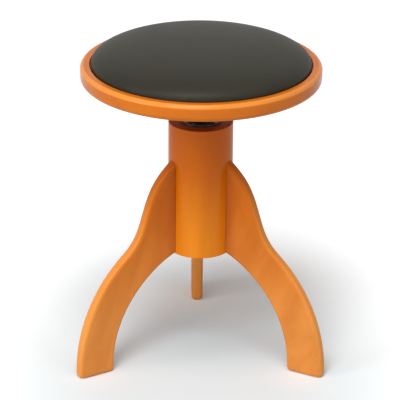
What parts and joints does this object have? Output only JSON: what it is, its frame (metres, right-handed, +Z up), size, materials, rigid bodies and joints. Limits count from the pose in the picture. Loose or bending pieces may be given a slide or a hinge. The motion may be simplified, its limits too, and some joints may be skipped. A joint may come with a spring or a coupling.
{
  "type": "revolving piano stool",
  "caption": "Round stool with a padded seat in a wooden rim, on a screw spindle in a turned column with curved board legs.",
  "frame": {"origin": "on the floor, straight below the axis about which the seat turns", "axes": "+Z up along the seat's axis; +Y along the rear leg; +X to the right of someone who looks along +Y from the picture's side"},
  "size_m": [0.367, 0.3844, 0.4899],
  "materials": {
    "beech": "honey-orange stain under satin lacquer",
    "dowel_wood": "plain fluted beech dowel",
    "plywood": "bare plywood",
    "leatherette": "smooth black leatherette, low sheen",
    "foam": "upholstery foam",
    "black_iron": "gloss black",
    "steel": "bright turned steel"
  },
  "bodies": {
    "base": {"hub": "beech", "leg_left": "beech", "leg_right": "beech", "leg_rear": "beech", "dowels_left": "dowel_wood", "dowels_right": "dowel_wood", "dowels_rear": "dowel_wood", "spindle_nut": "black_iron", "nut_screws": "steel"},
    "lift": {"stop_washer": "steel"},
    "seat": {"stop_screw": "steel", "spindle": "steel", "spindle_pin": "steel", "seat_plate": "black_iron", "plate_screws": "steel", "seat_board": "beech", "pad_screws": "steel", "pad_board": "plywood", "pad_staples": "steel", "pad_foam": "foam", "pad_cover": "leatherette"}
  },
  "joints": [
    {"name": "seat_lift", "type": "slide", "parent": "base", "child": "lift", "axis": [0, 0, 1], "range_m": [0, 0.1]},
    {"name": "seat_turn", "type": "hinge", "parent": "lift", "child": "seat", "pos_m": [0, 0, 0.3722], "axis": [0, 0, 1], "range_deg": [0, 7200]}
  ],
  "couplings": [
    {"joint": "seat_lift", "follows": "seat_turn", "m_per_rad": 0.00079577}
  ]
}
